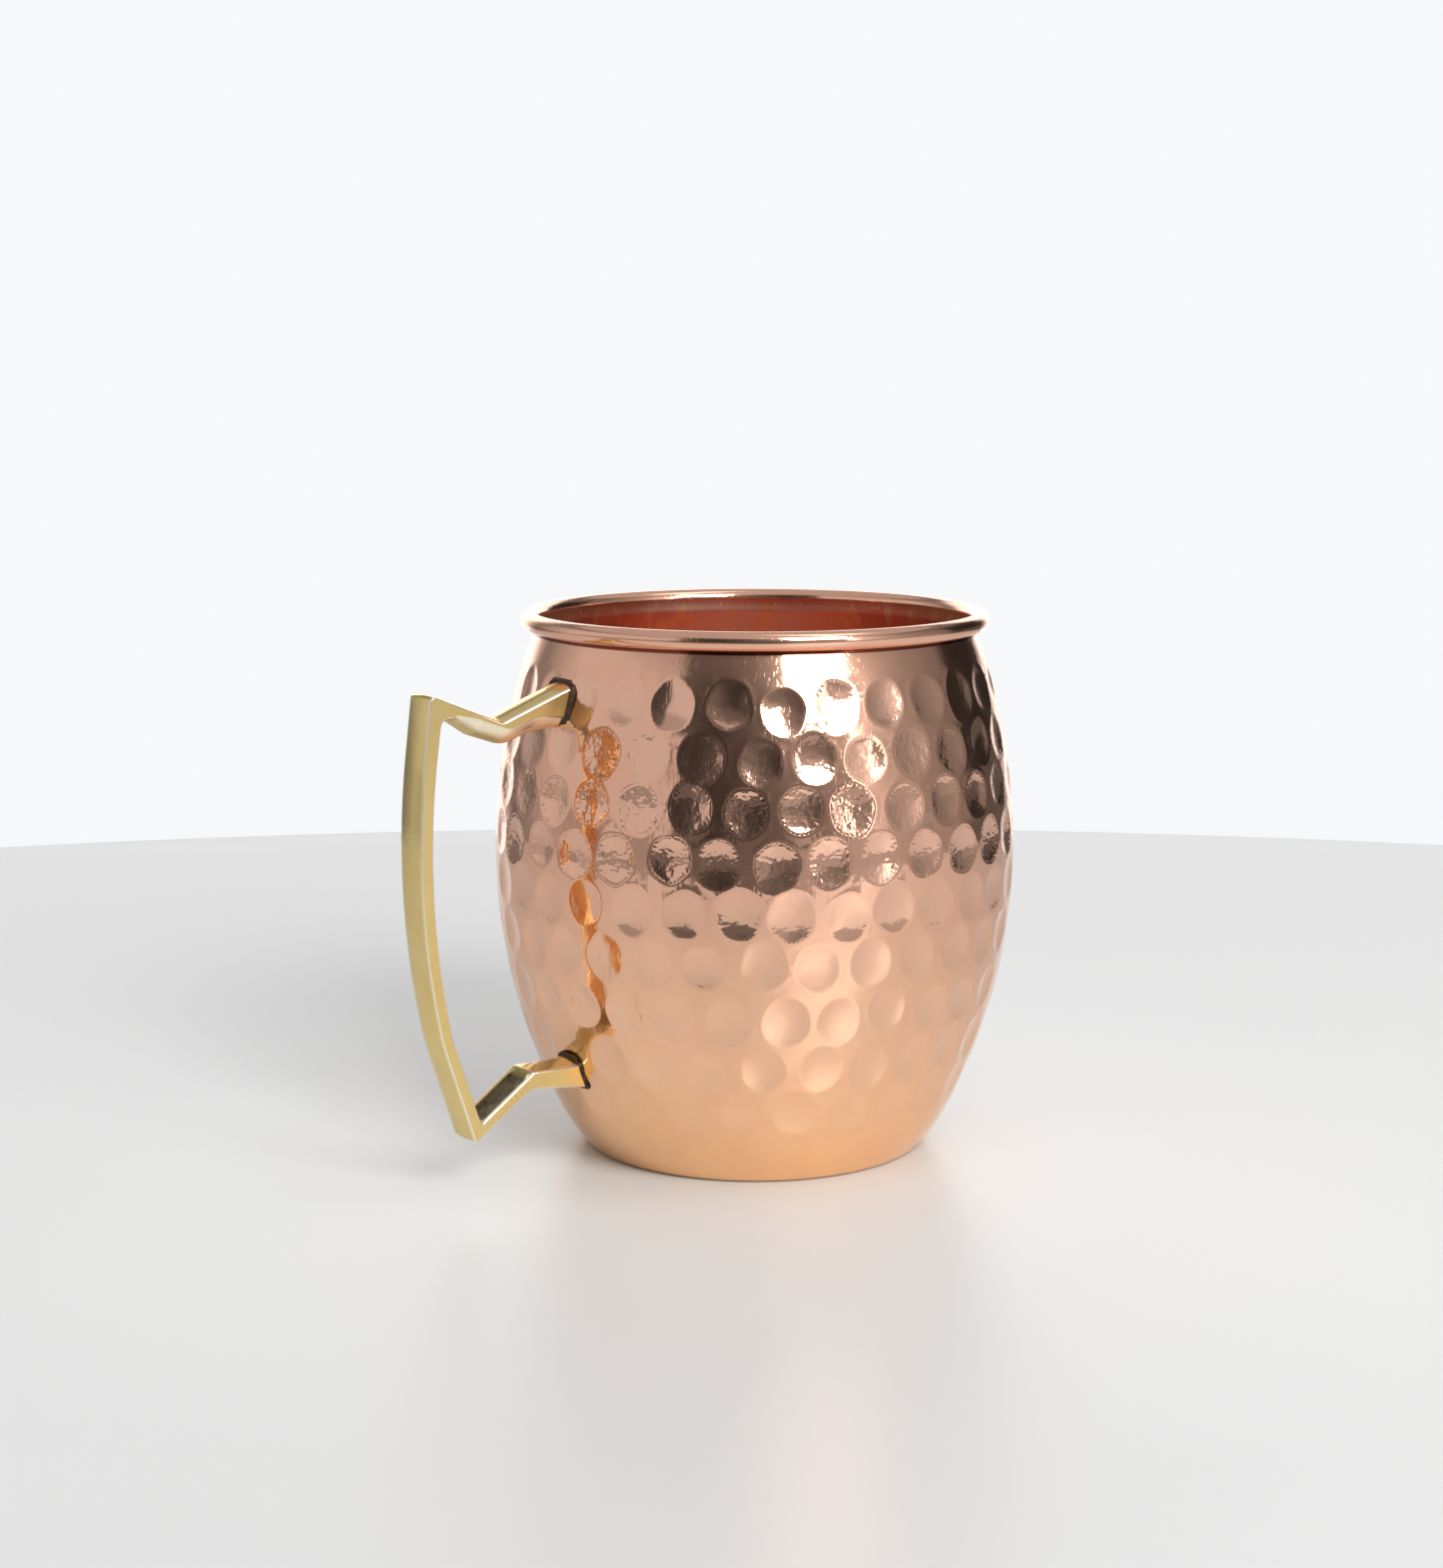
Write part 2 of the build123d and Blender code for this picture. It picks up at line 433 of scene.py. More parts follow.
def cup_attributes(points):
    """Where the cup is pressed, textured, on the inside, or in the crease under the rim that takes
    painted shade.
    """
    height = points[:, 2]
    radius = np.hypot(points[:, 0], points[:, 1])
    angle = np.arctan2(-points[:, 1], -points[:, 0])
    outer = radius > wall_radius(height) - 0.8 * WALL
    band = outer & (height > BAND_LOW) & (height < BAND_HIGH)
    texture = np.zeros(len(points))
    pressed = np.zeros(len(points))
    for mark in marks:
        within = band & (mark_distance(mark, angle, height) < MARK_FLOOR)
        texture[within] = mark.texture
        pressed[within] = 1
    inside = radius < wall_radius(height) - 0.7 * WALL
    inside &= (height > 0.5 * BASE_THICKNESS) & (height < rim_centre[1] - 0.5 * RIM_RADIUS)
    # The crease under the rim, where shade is painted over the dark oxide.
    crease_shade = outer & (height > SHOULDER_HEIGHT) & (height < HEIGHT - 1.9 * RIM_RADIUS)
    crease_shade &= radius < rim_centre[0]
    return [
        ("mark_texture", texture),
        ("pressed", pressed),
        ("inside", inside.astype(float)),
        ("crease_shade", crease_shade.astype(float)),
    ]


def make_cup():
    """The whole cup as one closed skin, from the middle of its base up, over the rim and down inside."""
    surface = Surface()
    base_centre, base_angle = corner_round(foot_curve, 0, BASE_EDGE_ROUND)
    reach = base_centre[0]
    middle = smooth_rings(surface, [(reach * 0.1, 0.0, 0.0, -1.0)])
    surface.cap(middle, (0, 0, 0), (0, 0, -1), side=-1)
    base = [(reach * share, 0.0, 0.0, -1.0) for share in (0.25, 0.4, 0.55, 0.7, 0.85)]
    last = smooth_rings(surface, base, middle)
    last = smooth_rings(surface, arc_stations(base_centre, BASE_EDGE_ROUND, -90, base_angle, 6), last)
    foot = arc_stations(foot_centre, foot_curve, base_angle, foot_angle, 8)
    last = smooth_rings(surface, foot[1:], last)
    low_angle = angle_at(lower_centre, LOWER_CURVE, BAND_LOW)
    lower = arc_stations(lower_centre, LOWER_CURVE, foot_angle, low_angle, 3)
    low_ring = smooth_rings(surface, lower[1:], last)
    high_angle = angle_at(upper_centre, UPPER_CURVE, BAND_HIGH)
    shoulder = arc_stations(upper_centre, UPPER_CURVE, high_angle, shoulder_angle, 3)
    high_ring = smooth_rings(surface, shoulder[:1])
    hammered_band(surface, low_ring, high_ring)
    last = smooth_rings(surface, shoulder[1:], high_ring)
    neck = arc_stations(neck_centre, NECK_CURVE, 180 + shoulder_angle, 180, 7, outward=-1)
    last = smooth_rings(surface, neck[1:], last)
    hollow = arc_stations(rim_centre, RIM_RADIUS - WALL, 180, RIM_END_ANGLE, 9, outward=-1)
    last = smooth_rings(surface, hollow, last)
    last = smooth_rings(surface, arc_stations(rim_centre, RIM_RADIUS, RIM_END_ANGLE, 180, 26), last)
    inner_neck = arc_stations(neck_centre, NECK_CURVE + WALL, 180, 180 + shoulder_angle, 6)
    last = smooth_rings(surface, inner_neck[1:], last)
    inner_wall(surface, last)
    attributes = cup_attributes(np.array([tuple(point) for point in surface.points]))
    return make_object("hammered_cup", surface.points, surface.faces, surface.normals, attributes)


cup = make_cup()
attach(cup, "root")
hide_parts("cup_body")

# ---------------- handle
HANDLE_WIDTH = handle_high.y - handle_low.y
HALF_WIDTH = HANDLE_WIDTH / MM / 2      # in mm
HANDLE_SUNK = 0.3 * MM      # how far the ends of the arms lie inside the cup's outer face
OUTLINE_STEP = 0.9          # mm between samples along the outline
CORNER_STEPS = 5            # fewest steps round a corner
EDGE_STEPS = 6              # steps round each long edge
END_BLEND = 4.0             # mm over which the ends take up the cup's curve
LOWER_FLARE = 1.5           # mm that the lower arm's upper face rises where it meets the cup
LOWER_FLARE_REACH = 3.0     # mm over which that rise dies away
FLARE_FALL = 0.9            # share of the rise that is lost at the arm's sides
FLARE_HEIGHTS = (18.0, 21.5)    # mm between which the outline is the arm's upper face
FULL_CAST = 0.2             # mm of hollow at which the rough cast skin and its painted shade are at their strongest
HOLLOW_BORDER = 3           # stations at each side of the hollow that are free of cast skin and painted shade
# Lines of the side view that run into the cup, each as two points: reach from the axis and
# height, in mm.
UPPER_TOP_LINE = ((55.2, 81.0), (36.0, 88.1))
UPPER_UNDER_LINE = ((48.6, 78.2), (36.0, 79.0))
LOWER_TOP_LINE = ((50.1, 20.1), (34.0, 19.6))
LOWER_UNDER_LINE = ((50.5, 16.9), (34.0, 14.7))


def wall_hit(line):
    """Where a line of the handle's side view reaches the cup, as reach and height in mm."""
    (far_reach, far_height), (near_reach, near_height) = line
    low, high = 0.0, 1.0
    for _ in range(40):
        share = (low + high) / 2
        reach = far_reach + (near_reach - far_reach) * share
        height = far_height + (near_height - far_height) * share
        if reach * MM > float(wall_radius(height * MM)) - HANDLE_SUNK:
            low = share
        else:
            high = share
    return reach, height


# Corners of the side view, in mm: reach out from the axis, height, corner radius, how much
# lower the face's edges lie than its middle (negative round a hollow), and the edges' round.
OUTLINE = [
    (*wall_hit(UPPER_TOP_LINE), 0.0, 0.6, 0.4),
    (55.2, 81.0, 0.3, 0.5, 0.4),            # valley of the upper arm
    (69.2, 86.3, 0.9, 0.2, 0.2),            # top corner of the grip
    (73.5, 54.0, 135.0, 0.3, 0.15),         # long bow of the grip
    (68.2, 27.7, 30.0, 0.3, 0.15),          # grip turns in towards its foot
    (62.0, 9.3, 0.9, 0.3, 0.2),             # bottom corner of the grip
    (50.5, 16.9, 3.0, 0.35, 0.3),           # lower arm levels out
    (*wall_hit(LOWER_UNDER_LINE), 0.0, 0.3, 0.3),
    (*wall_hit(LOWER_TOP_LINE), 0.0, 0.1, 0.2),
    (50.1, 20.1, 0.9, 0.0, 0.35),           # crest of the lower arm
    (51.6, 19.05, 0.0, -0.35, 0.35),        # upper end of the hollow
    (60.0, 13.35, 0.0, -0.35, 0.35),        # lower end of the hollow
    (60.6, 12.9, 0.3, 0.1, 0.25),           # inner bottom corner of the grip
    (65.7, 28.4, 27.5, 0.3, 0.25),
    (70.9, 54.1, 132.5, 0.3, 0.25),
    (66.7, 82.6, 1.2, 0.3, 0.3),            # inner top corner of the grip
    (65.2, 81.6, 0.0, 0.6, 0.6),
    (60.8, 78.7, 6.0, 1.0, 2.6),
    (54.0, 76.3, 5.0, 1.0, 2.6),            # underside of the valley
    (48.6, 78.2, 6.0, 1.0, 2.4),            # upper arm levels out towards the cup
    (*wall_hit(UPPER_UNDER_LINE), 0.0, 0.8, 1.6),
]
# Across the hollow of the lower arm: share of the half width, share of the hollow's depth
HOLLOW_SECTION = (
    (0.0, 1.0),
    (0.35, 0.97),
    (0.65, 0.9),
    (0.83, 0.8),
    (0.89, 0.4),
    (0.93, 0.06),
    (1.0, 0.0),
)


def outline_corners():
    """For each corner: its point, unit directions to the corners before and after it, half the
    angle between them, and the length of side that its rounding takes up."""
    count = len(OUTLINE)
    corners = []
    for i in range(count):
        before, here, after = (np.array(OUTLINE[(i + k) % count][:2]) for k in (-1, 0, 1))
        back = (before - here) / np.linalg.norm(before - here)
        onward = (after - here) / np.linalg.norm(after - here)
        half = math.acos(float(np.clip(back @ onward, -1, 1))) / 2
        corners.append((here, back, onward, half, OUTLINE[i][2] / math.tan(half)))
    return corners


def corner_samples(corner, radius, drop, edge):
    """Samples round one corner, or the corner itself where it is sharp."""
    here, back, onward, half, trim = corner
    first_normal = np.array([back[1], -back[0]])
    last_normal = np.array([-onward[1], onward[0]])
    if radius == 0:
        normal = max(first_normal, last_normal, key=lambda candidate: abs(candidate[1]))
        return [(here, normal, drop, edge)]
    middle = (back + onward) / np.linalg.norm(back + onward)
    centre = here + middle * radius / math.sin(half)
    first = here + back * trim - centre
    last = here + onward * trim - centre
    start = math.atan2(first[1], first[0])
    sweep = (math.atan2(last[1], last[0]) - start + math.pi) % TURN - math.pi
    side = np.sign(first_normal @ first)
    steps = max(CORNER_STEPS, int(abs(sweep) * radius / OUTLINE_STEP))
    samples = []
    for k in range(steps + 1):
        turn = start + sweep * k / steps
        arm = np.array([math.cos(turn), math.sin(turn)])
        samples.append((centre + radius * arm, side * arm, drop, edge))
    return samples


def side_samples(start, end, normal, first, last):
    """Samples along a straight side, outside the cup; drop and edge go from first to last."""
    pieces = max(1, int(np.linalg.norm(end - start) / OUTLINE_STEP))
    samples = []
    for k in range(1, pieces):
        share = k / pieces
        point = start + (end - start) * share
        if point[0] * MM > float(wall_radius(point[1] * MM)):
            drop, edge = (a + (b - a) * share for a, b in zip(first, last))
            samples.append((point, normal, drop, edge))
    return samples


def outline_samples():
    """The rounded outline: points in mm, outward normals, edge drop and edge round."""
    corners = outline_corners()
    samples = []
    for i, corner in enumerate(corners):
        following = (i + 1) % len(corners)
        here, _, onward, _, trim = corner
        after, back, _, _, next_trim = corners[following]
        start = here + onward * trim
        end = after + back * next_trim
        normal = np.array([-onward[1], onward[0]])
        samples += corner_samples(corner, *OUTLINE[i][2:])
        samples += side_samples(start, end, normal, OUTLINE[i][3:], OUTLINE[following][3:])
    return samples


def across_handle(drop, edge):
    """Stations across the handle: offset from the middle and depth below the crest, in mm."""
    face = HALF_WIDTH - edge
    for _ in range(6):
        slope = math.atan(2 * max(drop, 0) / face)
        face = HALF_WIDTH - edge * (1 - math.sin(slope))
    if drop < 0:
        stations = [(face * share, -drop * depth) for share, depth in HOLLOW_SECTION]
        slope = 0.0
    else:
        shares = np.linspace(0, 1, len(HOLLOW_SECTION))
        stations = [(face * share, drop * share ** 2) for share in shares]
    face_depth = stations[-1][1]
    for k in range(1, EDGE_STEPS + 1):
        turn = slope + (math.pi / 2 - slope) * k / EDGE_STEPS
        offset = face + edge * (math.sin(turn) - math.sin(slope))
        depth = face_depth + edge * (math.cos(slope) - math.cos(turn))
        stations.append((offset, depth))
    mirrored = [(-offset, depth) for offset, depth in stations[:0:-1]]
    return mirrored + stations


def handle_point(point, normal, offset, depth):
    """Point of the handle's skin; its ends follow the cup, and the lower arm flares there."""
    reach, height = point - normal * depth
    wall = float(wall_radius(height * MM)) / MM - HANDLE_SUNK / MM
    beyond = max(reach - wall, 0)
    if FLARE_HEIGHTS[0] < point[1] < FLARE_HEIGHTS[1] and normal[1] > 0.9:
        flare = LOWER_FLARE * math.exp(-beyond / LOWER_FLARE_REACH)
        height += flare * (1 - FLARE_FALL * (offset / HALF_WIDTH) ** 2)
    reach -= (wall - math.sqrt(wall ** 2 - offset ** 2)) * max(0, 1 - beyond / END_BLEND)
    return -reach * MM, offset * MM, height * MM


def handle_normals(grid):
    """Normals of the grid of points; those of the first and last column face sideways."""
    along = np.roll(grid, -1, axis=0) - np.roll(grid, 1, axis=0)
    across = np.gradient(grid, axis=1)
    normals = np.cross(across, along)
    normals /= np.maximum(np.linalg.norm(normals, axis=-1, keepdims=True), 1e-12)
    normals[:, 0] = (0, -1, 0)
    normals[:, -1] = (0, 1, 0)
    return normals


def fill_side(surface, grid, column, order):
    """One flat side of the handle: triangles inside the outline that a column gives."""
    rows, columns = grid.shape[:2]
    side = [Vector((-float(x), float(z))) for x, _, z in grid[:, column]]
    edges = [(i, (i + 1) % rows) for i in range(rows)]
    _, _, triangles, sources, _, _ = delaunay_2d_cdt(side, edges, [], 1, 1e-9)
    for triangle in triangles:
        surface.faces.append(tuple(sources[i][0] * columns + column for i in triangle[::order]))


def handle_attributes(samples, columns):
    """Where the handle is left as cast with painted shade in its hollow, satin on its flat sides, and
    rubbed along its edges with a painted highlight.
    """
    shape = (len(samples), columns)
    border = EDGE_STEPS + HOLLOW_BORDER
    cast_and_shade = np.zeros(shape)
    for i, (_, _, drop, _) in enumerate(samples):
        cast_and_shade[i, border:columns - border] = min(1, max(0, -drop / FULL_CAST))
    satin = np.zeros(shape)
    satin[:, (0, -1)] = 1
    worn_highlight = np.zeros(shape)
    worn_highlight[:, 1:EDGE_STEPS + 1] = 1
    worn_highlight[:, -EDGE_STEPS - 1:-1] = 1
    return [("as_cast_shaded", cast_and_shade.ravel()), ("satin", satin.ravel()), ("worn_highlight", worn_highlight.ravel())]


def make_handle():
    """The handle as one closed skin: a band that follows the outline, and two flat sides."""
    samples = outline_samples()
    grid = []
    for point, normal, drop, edge in samples:
        stations = across_handle(drop, edge)
        grid.append([handle_point(point, normal, offset, depth) for offset, depth in stations])
    grid = np.array(grid)
    rows, columns = grid.shape[:2]
    surface = Surface()
    surface.add(grid.reshape(-1, 3), handle_normals(grid).reshape(-1, 3))
    for i in range(rows):
        here = i * columns
        following = (i + 1) % rows * columns
        for j in range(columns - 1):
            surface.faces.append((here + j, here + j + 1, following + j + 1, following + j))
    fill_side(surface, grid, 0, -1)
    fill_side(surface, grid, columns - 1, 1)
    attributes = handle_attributes(samples, columns)
    return make_object("brass_handle", surface.points, surface.faces, surface.normals, attributes)


handle = make_handle()
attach(handle, "root")
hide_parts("handle")

# ---------------- braze joints
BRAZE_COLUMNS = 96
UPPER_BEAD_RAISE = 0.4      # mm that the rounded underside of the upper arm lies higher
# Across the bead from the arm to the cup: share of the margin, lift off the cup in mm
BRAZE_SECTION = (
    (-0.4, 0.35),
    (0.02, 0.42),
    (0.25, 0.38),
    (0.55, 0.26),
    (0.85, 0.1),
    (1.0, -0.06),
    (-0.4, -0.06),
)


def make_braze(name, low, high, arch, margins, roundness):
    """A bead of filler round one end of the handle. Heights, arch and margins are in mm; the
    margins are those above, below and to each side of the arm. Roundness is 0 for square corners
    and 1 for an ellipse, above and below."""
    above, below, beside = margins
    surface = Surface()
    turns = np.arange(BRAZE_COLUMNS) * TURN / BRAZE_COLUMNS
    cosine, sine = np.cos(turns), np.sin(turns)
    waves = 1 + 0.16 * np.sin(3 * turns + low) + 0.12 * np.sin(7 * turns + 2 * low)
    waves += 0.1 * np.sin(13 * turns)
    margin = above * np.maximum(sine, 0) ** 2 + below * np.maximum(-sine, 0) ** 2
    margin = (margin + beside * cosine ** 2) * waves
    half_height = (high - low) / 2
    last = None
    for share, lift in BRAZE_SECTION:
        spread = share * margin
        corner = np.where(sine > 0, roundness[0], roundness[1]) + 0.15 * max(share, 0)
        across = np.sign(cosine) * np.abs(cosine) ** corner
        rise = np.sign(sine) * np.abs(sine) ** corner
        top = arch * np.clip(rise, 0, 1) * (1 - FLARE_FALL * across ** 2)
        y = (HALF_WIDTH + spread) * across
        z = (low + high) / 2 + (half_height + spread) * rise + top
        x = -np.sqrt((wall_radius(z * MM) / MM + lift) ** 2 - y ** 2)
        ring = surface.add(np.stack([x, y, z], axis=-1) * MM, np.zeros((BRAZE_COLUMNS, 3)))
        if last:
            surface.join(last, ring)
        last = ring
    surface.faces.append(tuple(reversed(range(BRAZE_COLUMNS))))
    surface.faces.append(tuple(last))
    return make_object(name, surface.points, surface.faces)


upper_braze = make_braze(
    "upper_braze_bead",
    low=wall_hit(UPPER_UNDER_LINE)[1] + UPPER_BEAD_RAISE,
    high=wall_hit(UPPER_TOP_LINE)[1],
    arch=0.0,
    margins=(0.3, 0.2, 0.9),
    roundness=(0.35, 0.55),
)
lower_braze = make_braze(
    "lower_braze_bead",
    low=wall_hit(LOWER_UNDER_LINE)[1],
    high=wall_hit(LOWER_TOP_LINE)[1],
    arch=LOWER_FLARE,
    margins=(0.35, 0.1, 0.6),
    roundness=(0.35, 0.25),
)
for braze, node in ((upper_braze, "upper_braze_joint"), (lower_braze, "lower_braze_joint")):
    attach(braze, "root")
    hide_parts(node)


# ---------------- camera
CAMERA_TURN = 37.45           # degrees from +Y to the line of sight, towards +X
CAMERA_ASIDE = -5.9 * MM      # to the right of the line through the cup's axis
CAMERA_BACK = 480 * MM
CAMERA_UP = 142 * MM
CAMERA_PITCH = 9.18
LENS = 62.25
SENSOR = 36

turn = math.radians(CAMERA_TURN)
right = Vector((math.cos(turn), -math.sin(turn), 0))
ahead = Vector((math.sin(turn), math.cos(turn), 0))
camera_data = bpy.data.cameras.new("camera")
camera_data.lens = LENS
camera_data.sensor_width = SENSOR
camera = bpy.data.objects.new("camera", camera_data)
bpy.context.scene.collection.objects.link(camera)
camera.location = right * CAMERA_ASIDE - ahead * CAMERA_BACK + Vector((0, 0, CAMERA_UP))
camera.rotation_euler = (math.radians(90 - CAMERA_PITCH), 0, -turn)
bpy.context.scene.camera = camera

# ---------------- materials
COPPER_LOW_GLOW = (1.0, 0.62, 0.33)          # towards the base, paler and more orange as a painted glow of the bright table
COPPER_BELLY = (1.0, 0.60, 0.385)
COPPER_HIGH = (0.94, 0.54, 0.385)       # towards the rim
COPPER_TARNISH = (0.88, 0.42, 0.26)
COPPER_PRESSED = (1.0, 0.74, 0.60)      # floor of a hammer mark
COPPER_CREASE_SHADE = (0.22, 0.05, 0.03)      # painted shade and dark oxide in the crease under the rim
# duller finish inside, darkened further as painted shade of the hollow
INSIDE_PLAIN = (0.87, 0.42, 0.28)
# a painted highlight on the inside of the far wall, below the rim
INSIDE_PAINTED_HIGHLIGHT = (1.0, 0.92, 0.82)
# pale gold streaks near the rim
INSIDE_STREAK_GOLD = (1.0, 0.76, 0.42)
BRASS_BRIGHT = (0.90, 0.70, 0.31)
BRASS_DULL = (0.84, 0.62, 0.24)
BRASS_WORN_HIGHLIGHT = (1.0, 0.93, 0.72)          # rubbed edges, paler, with a painted highlight along them
SKIN_SHADE_DARK = (0.07, 0.045, 0.025)        # rough cast skin, darkened as painted shade of the hollow
SKIN_SHADE_LIGHT = (0.27, 0.20, 0.095)
BRAZE_DARK = (0.035, 0.024, 0.018)
BRAZE_LIGHT = (0.15, 0.075, 0.045)
TABLE_COOL = (0.68, 0.682, 0.685)
TABLE_WARM = (0.71, 0.71, 0.705)
TABLE_LIT_NEAR_MUG = (0.73, 0.745, 0.75)       # painted pool of light close round the mug


class Nodes:
    """Short calls for making shader nodes."""

    def __init__(self, owner):
        owner.use_nodes = True
        self.tree = owner.node_tree
        self.tree.nodes.clear()

    def connect(self, socket, value):
        """Gives an input its value, or links it to another node's output."""
        if isinstance(value, bpy.types.NodeSocket):
            self.tree.links.new(value, socket)
        else:
            socket.default_value = value

    def add(self, kind, inputs=None, **settings):
        """A node with some of its inputs, by name or number, and some of its settings."""
        node = self.tree.nodes.new(kind)
        for name, value in settings.items():
            setattr(node, name, value)
        for name, value in (inputs or {}).items():
            self.connect(node.inputs[name], value)
        return node

    def place(self):
        """The point's own place in the frame."""
        return self.add('ShaderNodeTexCoord').outputs["Object"]

    def attribute(self, name):
        return self.add('ShaderNodeAttribute', attribute_name=name).outputs["Fac"]

    def math(self, operation, *values):
        return self.add('ShaderNodeMath', dict(enumerate(values)), operation=operation).outputs[0]

    def scaled(self, value, factor):
        return self.math('MULTIPLY', value, factor)

    def total(self, value, *others):
        for other in others:
            value = self.math('ADD', value, other)
        return value

    def dot(self, vector, axis):
        inputs = {0: vector, 1: tuple(axis)}
        node = self.add('ShaderNodeVectorMath', inputs, operation='DOT_PRODUCT')
        return node.outputs["Value"]

    def stretched(self, vector, scale, rotation=(0, 0, 0)):
        inputs = {"Vector": vector, "Scale": scale, "Rotation": rotation}
        return self.add('ShaderNodeMapping', inputs).outputs[0]

    def noise(self, vector, scale, detail=3.0, roughness=0.5, distortion=0.0):
        inputs = {"Vector": vector, "Scale": scale, "Detail": detail}
        inputs.update({"Roughness": roughness, "Distortion": distortion})
        return self.add('ShaderNodeTexNoise', inputs).outputs["Fac"]

    def ramp(self, value, *stops):
        """A colour ramp; each stop is a position and a grey level or a colour."""
        node = self.add('ShaderNodeValToRGB', {"Fac": value})
        elements = node.color_ramp.elements
        while len(elements) < len(stops):
            elements.new(1.0)
        for element, (position, level) in zip(elements, stops):
            colour = (level, level, level) if isinstance(level, (int, float)) else level
            element.position = position
            element.color = (*colour, 1)
        return node.outputs["Color"]

    def rise(self, value, start, end, top=1.0):
        """A level that climbs from nothing at one value to its top at another."""
        return self.ramp(value, (start, 0.0), (end, top))

    def mix(self, share, first, second):
        """A blend of two colours."""
        node = self.add('ShaderNodeMix', {0: share}, data_type='RGBA')
        for number, colour in ((6, first), (7, second)):
            self.connect(node.inputs[number], (*colour, 1) if isinstance(colour, tuple) else colour)
        return node.outputs[2]

    def bump(self, height, distance):
        inputs = {"Height": height, "Distance": distance, "Strength": 1.0}
        return self.add('ShaderNodeBump', inputs).outputs[0]

    def principled(self, **inputs):
        """A surface shader; the names of its inputs are given with underscores."""
        named = {name.replace("_", " "): value for name, value in inputs.items()}
        return self.add('ShaderNodeBsdfPrincipled', named).outputs[0]

    def blend(self, share, first, second):
        """A blend of two shaders."""
        return self.add('ShaderNodeMixShader', {0: share, 1: first, 2: second}).outputs[0]

    def finish(self, shader, kind='ShaderNodeOutputMaterial'):
        self.add(kind, {"Surface": shader})


def polished_metal(nodes, colour, sharp, haze, haze_share, bump):
    """A polished metal: a sharp reflection with a wide faint haze round it."""
    layers = [
        nodes.principled(Base_Color=colour, Metallic=1.0, Roughness=roughness, Normal=bump)
        for roughness in (sharp, haze)
    ]
    nodes.finish(nodes.blend(haze_share, *layers))


def inside_colour(nodes, place, level):
    """The inside: copper darkened as painted shade of the hollow, with a painted highlight on the far
    side near the rim and gold streaks near the rim.
    """
    near_rim = nodes.rise(level, 0.70, 0.88)
    # Painted highlight on the side away from the camera, near the rim.
    lit_far_side = nodes.rise(nodes.dot(place, ahead / BELLY_RADIUS), 0.65, 0.9)
    plain = nodes.mix(nodes.math('MULTIPLY', lit_far_side, near_rim), INSIDE_PLAIN, INSIDE_PAINTED_HIGHLIGHT)
    streaks = nodes.noise(nodes.stretched(place, (1, 1, 0.12)), 260, detail=3, distortion=0.5)
    # Pale gold streaks near the rim.
    gold_streaks = nodes.math('MULTIPLY', nodes.rise(streaks, 0.53, 0.62, 0.9), near_rim)
    return nodes.mix(gold_streaks, plain, INSIDE_STREAK_GOLD)


def copper_bump(nodes, place, lines):
    """Pits in the floors of the hammer marks, a soft waviness, and fine lines."""
    pits = nodes.noise(place, 800, detail=1)
    relief = nodes.math('MULTIPLY', pits, nodes.attribute("mark_texture"))
    soft = nodes.noise(place, 260, detail=2)
    parts = (nodes.scaled(relief, 1.6), nodes.scaled(soft, 0.3), nodes.scaled(lines, 0.06))
    return nodes.bump(nodes.total(*parts), 0.09 * MM)


def copper_material():
    """Polished copper with faint tarnish and polishing lines, duller on the inside."""
    material = bpy.data.materials.new("hammered_copper")
    nodes = Nodes(material)
    place = nodes.place()
    up = nodes.add('ShaderNodeSeparateXYZ', {0: place}).outputs["Z"]
    level = nodes.scaled(up, 1 / HEIGHT)
    inside = nodes.attribute("inside")
    tarnish = nodes.noise(place, 30, detail=4, roughness=0.6)
    cloud = nodes.noise(place, 140, detail=4, roughness=0.65)
    fine = nodes.noise(nodes.stretched(place, (1, 1, 0.06), (0.5, 0.3, 0)), 2600, detail=2)
    lines = nodes.rise(fine, 0.60, 0.72)
    # Paler and more orange towards the base: a painted glow of the bright table that the lower wall
    # reflects.
    shade = nodes.total(level, nodes.scaled(tarnish, 0.3))
    colour = nodes.ramp(shade, (0.1, COPPER_LOW_GLOW), (0.42, COPPER_BELLY), (0.75, COPPER_HIGH))
    colour = nodes.mix(nodes.rise(cloud, 0.45, 0.8, 0.3), colour, COPPER_TARNISH)
    colour = nodes.mix(nodes.scaled(nodes.attribute("pressed"), 0.1), colour, COPPER_PRESSED)
    # The inside, darker as painted shade of the hollow.
    colour = nodes.mix(inside, colour, inside_colour(nodes, place, level))
    # Painted shade in the crease under the rim, dark as oxide there too.
    colour = nodes.mix(nodes.attribute("crease_shade"), colour, COPPER_CREASE_SHADE)
    sharp = nodes.total(nodes.scaled(cloud, 0.07), nodes.scaled(lines, 0.1), 0.04)
    sharp = nodes.total(sharp, nodes.scaled(inside, 0.3))
    haze_share = nodes.total(nodes.scaled(inside, 0.4), 0.13)
    polished_metal(nodes, colour, sharp, 0.34, haze_share, copper_bump(nodes, place, lines))
    return material


